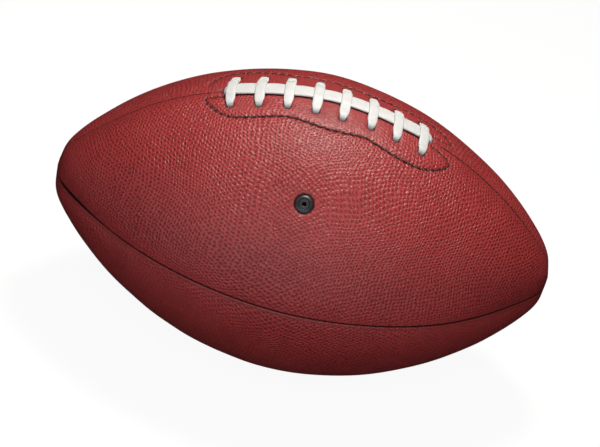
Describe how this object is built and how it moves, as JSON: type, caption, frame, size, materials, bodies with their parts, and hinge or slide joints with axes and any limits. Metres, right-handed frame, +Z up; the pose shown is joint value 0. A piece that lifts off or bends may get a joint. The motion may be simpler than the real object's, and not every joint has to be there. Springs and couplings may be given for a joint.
{
  "type": "american football",
  "caption": "Laced prolate ball with a four-panel pebbled leather cover, cloth linings, inner bladder and a needle inflation valve.",
  "frame": {"origin": "middle of the ball, on its long axis", "axes": "+X along the long axis, +Z up through the lacing, -Y towards the lower front seam, so the valve panel lies between +Z and -Y"},
  "size_m": [0.2856, 0.1704, 0.1739],
  "materials": {
    "pebbled_leather": "pebbled, tacky semi-matte, red-brown",
    "lining_cloth": "woven cotton, laminated",
    "facing_leather": "plain split leather",
    "stitch_thread": "twisted black thread",
    "seam_thread": "waxed dark thread",
    "lace_vinyl": "white, lightly textured, satin",
    "tongue_leather": "plain split leather",
    "bladder_rubber": "moulded butyl rubber",
    "valve_rubber": "moulded black rubber"
  },
  "bodies": {
    "ball": {"valve_side_panel": "pebbled_leather", "lace_side_panel": "pebbled_leather", "lower_front_panel": "pebbled_leather", "lower_back_panel": "pebbled_leather", "valve_side_lining": "lining_cloth", "lace_side_lining": "lining_cloth", "lower_front_lining": "lining_cloth", "lower_back_lining": "lining_cloth", "front_lace_facing": "facing_leather", "back_lace_facing": "facing_leather", "front_facing_stitches": "stitch_thread", "back_facing_stitches": "stitch_thread", "lace_seam_thread": "seam_thread", "front_seam_thread": "seam_thread", "back_seam_thread": "seam_thread", "bottom_seam_thread": "seam_thread", "lace": "lace_vinyl", "lace_tongue": "tongue_leather", "bladder": "bladder_rubber", "valve_patch": "bladder_rubber", "valve_body": "valve_rubber"},
    "valve_core": {"valve_core": "valve_rubber"}
  },
  "joints": [
    {"name": "valve_core_pull", "type": "slide", "parent": "ball", "child": "valve_core", "axis": [-0.0381, -0.7344, 0.6777], "range_m": [0, 0.0125]}
  ]
}
